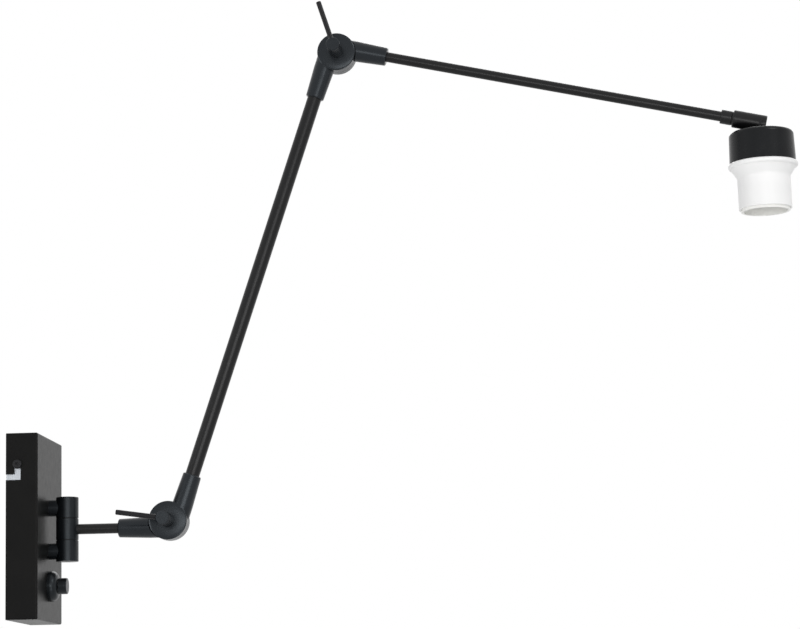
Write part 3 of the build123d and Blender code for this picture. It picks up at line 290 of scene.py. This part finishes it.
NICKEL = turned_metal(
    "nickel_shell",
    dark=(0.6, 0.58, 0.54),
    light=(0.78, 0.76, 0.72),
    roughness=0.25,
    stretch=(1, 1, 0.3),
)
WHITE = moulded(
    "white_plastic",
    dark=(0.86, 0.86, 0.858),
    light=(0.9, 0.9, 0.898),
    roughness=0.34,
    specular=0.4,
)
HOLDER = moulded(
    "lampholder_white",
    dark=(0.87, 0.87, 0.84),
    light=(0.92, 0.92, 0.89),
    roughness=0.3,
    specular=0.45,
)
CERAMIC = moulded(
    "insulator",
    dark=(0.72, 0.72, 0.69),
    light=(0.82, 0.815, 0.78),
    roughness=0.4,
)
BLACK_PLASTIC = moulded(
    "black_plastic",
    dark=(0.008, 0.008, 0.008),
    light=(0.014, 0.014, 0.014),
    roughness=0.5,
    specular=0.25,
)
SHEATH = moulded(
    "cable_sheath",
    dark=(0.012, 0.012, 0.012),
    light=(0.022, 0.022, 0.021),
    roughness=0.55,
    specular=0.3,
)

LOOKS = {
    BOX_COAT: ["wall_box"],
    HINGE_COAT: [
        "upper_post",
        "lower_post",
        "upper_knuckle",
        "middle_knuckle",
        "lower_knuckle",
        "dimmer_rosette",
        "dimmer_knob",
    ],
    TUBE_COAT: ["short_arm", "lower_arm", "upper_arm", "swivel_collar", "swivel_sleeve"],
    HUB_COAT: [
        "short_arm_hub",
        "lower_arm_foot_hub",
        "lower_arm_head_hub",
        "upper_arm_hub",
        "lower_elbow_knob",
        "upper_elbow_knob",
    ],
    CAP_COAT: ["head_cap"],
    ZINC: ["wall_bracket"],
    STEEL: [
        "hinge_backing_plate",
        "post_nipples",
        "nipple_washers",
        "nipple_nuts",
        "swivel_nut",
        "tilt_spacers",
        "tilt_stem",
        "stem_nut",
        "dimmer_shaft",
    ],
    BLACK_STEEL: [
        "cover_screws",
        "hinge_pin",
        "hinge_washers",
        "short_arm_grub_screw",
        "lower_arm_grub_screws",
        "upper_arm_grub_screw",
        "lower_elbow_bolt",
        "upper_elbow_bolt",
        "lower_elbow_lever",
        "upper_elbow_lever",
        "tilt_pin",
    ],
    BRASS: ["terminal_screws", "earth_screw", "centre_contact"],
    NICKEL: ["screw_shell"],
    WHITE: ["shade_ring"],
    HOLDER: ["lampholder_body", "terminal_block"],
    CERAMIC: ["contact_insulator"],
    BLACK_PLASTIC: [
        "hinge_pin_plugs",
        "dimmer_module",
        "lower_elbow_friction_washer",
        "upper_elbow_friction_washer",
        "swivel_washer",
    ],
    SHEATH: [
        "mains_lead",
        "lamp_lead",
        "short_arm_cable",
        "lower_arm_cable",
        "upper_arm_cable",
        "head_lead",
    ],
}
for look, names in LOOKS.items():
    for name in names:
        for slot in nodes[name].material_slots:
            slot.material = look

# ---- the thread of the lamp socket -----------------------------------------------------------
THREAD_PITCH = 0.003629
THREAD_DEPTH = 0.0011
THREAD_LIFT = 0.00015
THREAD_STEPS = 96
THREAD_SLICES = 56
BORE_CLEARANCE = 0.00002


def socket_thread():
    """The rounded thread that is rolled into the shell, as a ring that lines the shell's bore."""
    mount = next(m for m in frame["record"]["mounts"] if m["name"] == "lamp_socket")
    axis = Vector(mount["axis"]).normalized()
    middle = Vector(mount["pos_m"])
    bore = mount["dims"]["r_mm"] / 1000 - BORE_CLEARANCE
    length = mount["dims"]["length_mm"] / 1000
    across = axis.orthogonal().normalized()
    other = axis.cross(across)
    mesh = bmesh.new()

    def circle(depth, radius_at):
        ring = []
        for step in range(THREAD_STEPS):
            angle = 2 * math.pi * step / THREAD_STEPS
            radius = radius_at(angle)
            spoke = across * math.cos(angle) + other * math.sin(angle)
            ring.append(mesh.verts.new(middle + axis * depth + spoke * radius))
        return ring

    def thread_at(depth):
        """The thread's radius round the bore at one depth; it dies out towards both ends."""
        from_end = min(depth + length / 2, length / 2 - depth)
        swell = min(1.0, from_end / THREAD_PITCH)

        def radius_at(angle):
            wave = 0.5 + 0.5 * math.cos(2 * math.pi * depth / THREAD_PITCH - angle)
            return bore - THREAD_LIFT - THREAD_DEPTH * swell * wave

        return radius_at

    rings = []
    for number in range(THREAD_SLICES + 1):
        depth = length * (number / THREAD_SLICES - 0.5)
        rings.append(circle(depth, thread_at(depth)))
    for depth in (length / 2, -length / 2):
        rings.append(circle(depth, lambda angle: bore))
    for first, second in zip(rings, rings[1:] + rings[:1]):
        for step in range(THREAD_STEPS):
            after = (step + 1) % THREAD_STEPS
            face = mesh.faces.new((first[step], first[after], second[after], second[step]))
            face.smooth = True
    bmesh.ops.recalc_face_normals(mesh, faces=mesh.faces)
    data = bpy.data.meshes.new("socket_thread")
    mesh.to_mesh(data)
    mesh.free()
    piece = bpy.data.objects.new("socket_thread", data)
    bpy.context.scene.collection.objects.link(piece)
    data.materials.append(NICKEL)
    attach(piece, "head")


socket_thread()

# ---- the white surroundings ------------------------------------------------------------------
WORLD_WHITE = (1, 1, 1, 1)
WORLD_LIGHT = 0.52
WHITE_TO_EYE = 1.0

FLOOR_X = 0.4
FLOOR_DROP = 1.5
FLOOR_SIZE = 400
FLOOR_COLOUR = (0.86, 0.86, 0.86, 1)
FLOOR_ROUGHNESS = 0.9
FLOOR_SPECULAR = 0.1
FADE_NEAR, FADE_FAR = 2.0, 12.0
GLOW_NEAR, GLOW_FAR = 0.6, 1.0


def eye_or_reflection(tree):
    """1 for rays from the camera, from gloss and through glass, 0 for what lights the lamp."""
    path = add_node(tree, "ShaderNodeLightPath")
    eye_or_gloss = add_node(tree, "ShaderNodeMath", operation="MAXIMUM")
    any_of_three = add_node(tree, "ShaderNodeMath", operation="MAXIMUM")
    tree.links.new(path.outputs["Is Camera Ray"], eye_or_gloss.inputs[0])
    tree.links.new(path.outputs["Is Glossy Ray"], eye_or_gloss.inputs[1])
    tree.links.new(eye_or_gloss.outputs["Value"], any_of_three.inputs[0])
    tree.links.new(path.outputs["Is Transmission Ray"], any_of_three.inputs[1])
    return any_of_three.outputs["Value"]


def white_world():
    """White to the eye and in reflections, softer as light on the lamp."""
    world = bpy.data.worlds.new("studio")
    bpy.context.scene.world = world
    world.use_nodes = True
    tree = world.node_tree
    background = tree.nodes["Background"]
    background.inputs["Color"].default_value = WORLD_WHITE
    factor, as_light, to_eye = 0, 2, 3  # the value sockets of a Mix node
    strength = add_node(tree, "ShaderNodeMix", {as_light: WORLD_LIGHT, to_eye: WHITE_TO_EYE})
    tree.links.new(eye_or_reflection(tree), strength.inputs[factor])
    tree.links.new(strength.outputs[0], background.inputs["Strength"])


def floor_paper():
    """Pale paper that glows to the eye, the more the farther off, so the horizon is white."""
    paper = Mat(
        "floor_paper",
        Base_Color=FLOOR_COLOUR,
        Roughness=FLOOR_ROUGHNESS,
        Specular_IOR_Level=FLOOR_SPECULAR,
    )
    glow = paper.node("ShaderNodeEmission")
    away = paper.node("ShaderNodeVectorMath", operation="LENGTH")
    paper.link(paper.coords.outputs["Object"], away.inputs[0])
    fade = paper.node(
        "ShaderNodeMapRange",
        {
            "From Min": FADE_NEAR,
            "From Max": FADE_FAR,
            "To Min": GLOW_NEAR,
            "To Max": GLOW_FAR,
        },
    )
    paper.link(away.outputs["Value"], fade.inputs["Value"])
    share = paper.node("ShaderNodeMath", operation="MULTIPLY")
    paper.link(eye_or_reflection(paper.tree), share.inputs[0])
    paper.link(fade.outputs["Result"], share.inputs[1])
    blend = paper.node("ShaderNodeMixShader")
    paper.link(share.outputs["Value"], blend.inputs["Fac"])
    paper.link(paper.shader.outputs["BSDF"], blend.inputs[1])
    paper.link(glow.outputs["Emission"], blend.inputs[2])
    paper.link(blend.outputs["Shader"], paper.tree.nodes["Material Output"].inputs["Surface"])
    return paper.material


white_world()
lowest = cad_box[0]
bpy.ops.mesh.primitive_plane_add(size=FLOOR_SIZE, location=(FLOOR_X, 0, lowest.z - FLOOR_DROP))
floor = bpy.context.object
floor.name = "floor"
floor.data.materials.append(floor_paper())

# ---- light -----------------------------------------------------------------------------------
LAMP_MIDDLE = (0.4, 0, 0.2)
SOFTBOXES = {
    # name: place, aim, width and height, watts
    "front": ((0.9, -2.9, 0.1), LAMP_MIDDLE, (2.1, 0.8), 19),
    "low": ((1.3, -2.4, -1.3), (0.6, 0, 0.3), (0.8, 0.8), 11),
    "key": ((2.2, -1.6, 1.9), LAMP_MIDDLE, (1.0, 1.0), 18),
    "side": ((-2.0, -1.8, -0.1), LAMP_MIDDLE, (0.7, 1.4), 18),
    "back": ((0.6, 2.2, 1.6), LAMP_MIDDLE, (1.6, 1.2), 15),
}


def softbox(name, place, aim, size, watts):
    """A rectangular lamp that the camera doesn't see."""
    data = bpy.data.lights.new(name, "AREA")
    data.shape = "RECTANGLE"
    data.size, data.size_y = size
    data.energy = watts
    lamp = bpy.data.objects.new(name, data)
    bpy.context.scene.collection.objects.link(lamp)
    lamp.location = place
    lamp.visible_camera = False
    direction = Vector(aim) - Vector(place)
    lamp.rotation_mode = "QUATERNION"
    lamp.rotation_quaternion = direction.to_track_quat("-Z", "Y")


for name, numbers in SOFTBOXES.items():
    softbox(name, *numbers)

# ---- camera, fitted to the edges in the photo ------------------------------------------------
CAMERA_PLACE = (0.60221, -2.72225, -0.22258)
YAW, PITCH, ROLL = math.radians(4.67), math.radians(8.861), math.radians(-1.059)
FOCAL_PIXELS, PICTURE_PIXELS = 2811.76, 800
SENSOR_WIDTH = 36
CLIP_START, CLIP_END = 0.05, 60

camera_data = bpy.data.cameras.new("camera")
camera = bpy.data.objects.new("camera", camera_data)
bpy.context.scene.collection.objects.link(camera)
bpy.context.scene.camera = camera
camera_data.sensor_width = SENSOR_WIDTH
camera_data.lens = FOCAL_PIXELS * SENSOR_WIDTH / PICTURE_PIXELS
camera_data.clip_start, camera_data.clip_end = CLIP_START, CLIP_END
forward = Vector(
    (
        -math.sin(YAW) * math.cos(PITCH),
        math.cos(YAW) * math.cos(PITCH),
        math.sin(PITCH),
    )
)
level_right = Vector((math.cos(YAW), math.sin(YAW), 0))
level_up = level_right.cross(forward)
right = math.cos(ROLL) * level_right + math.sin(ROLL) * level_up
up = -math.sin(ROLL) * level_right + math.cos(ROLL) * level_up
camera.matrix_world = Matrix.Translation(CAMERA_PLACE) @ Matrix(
    (
        (right.x, up.x, -forward.x),
        (right.y, up.y, -forward.y),
        (right.z, up.z, -forward.z),
    )
).to_4x4()

bpy.context.scene.view_settings.view_transform = "Standard"
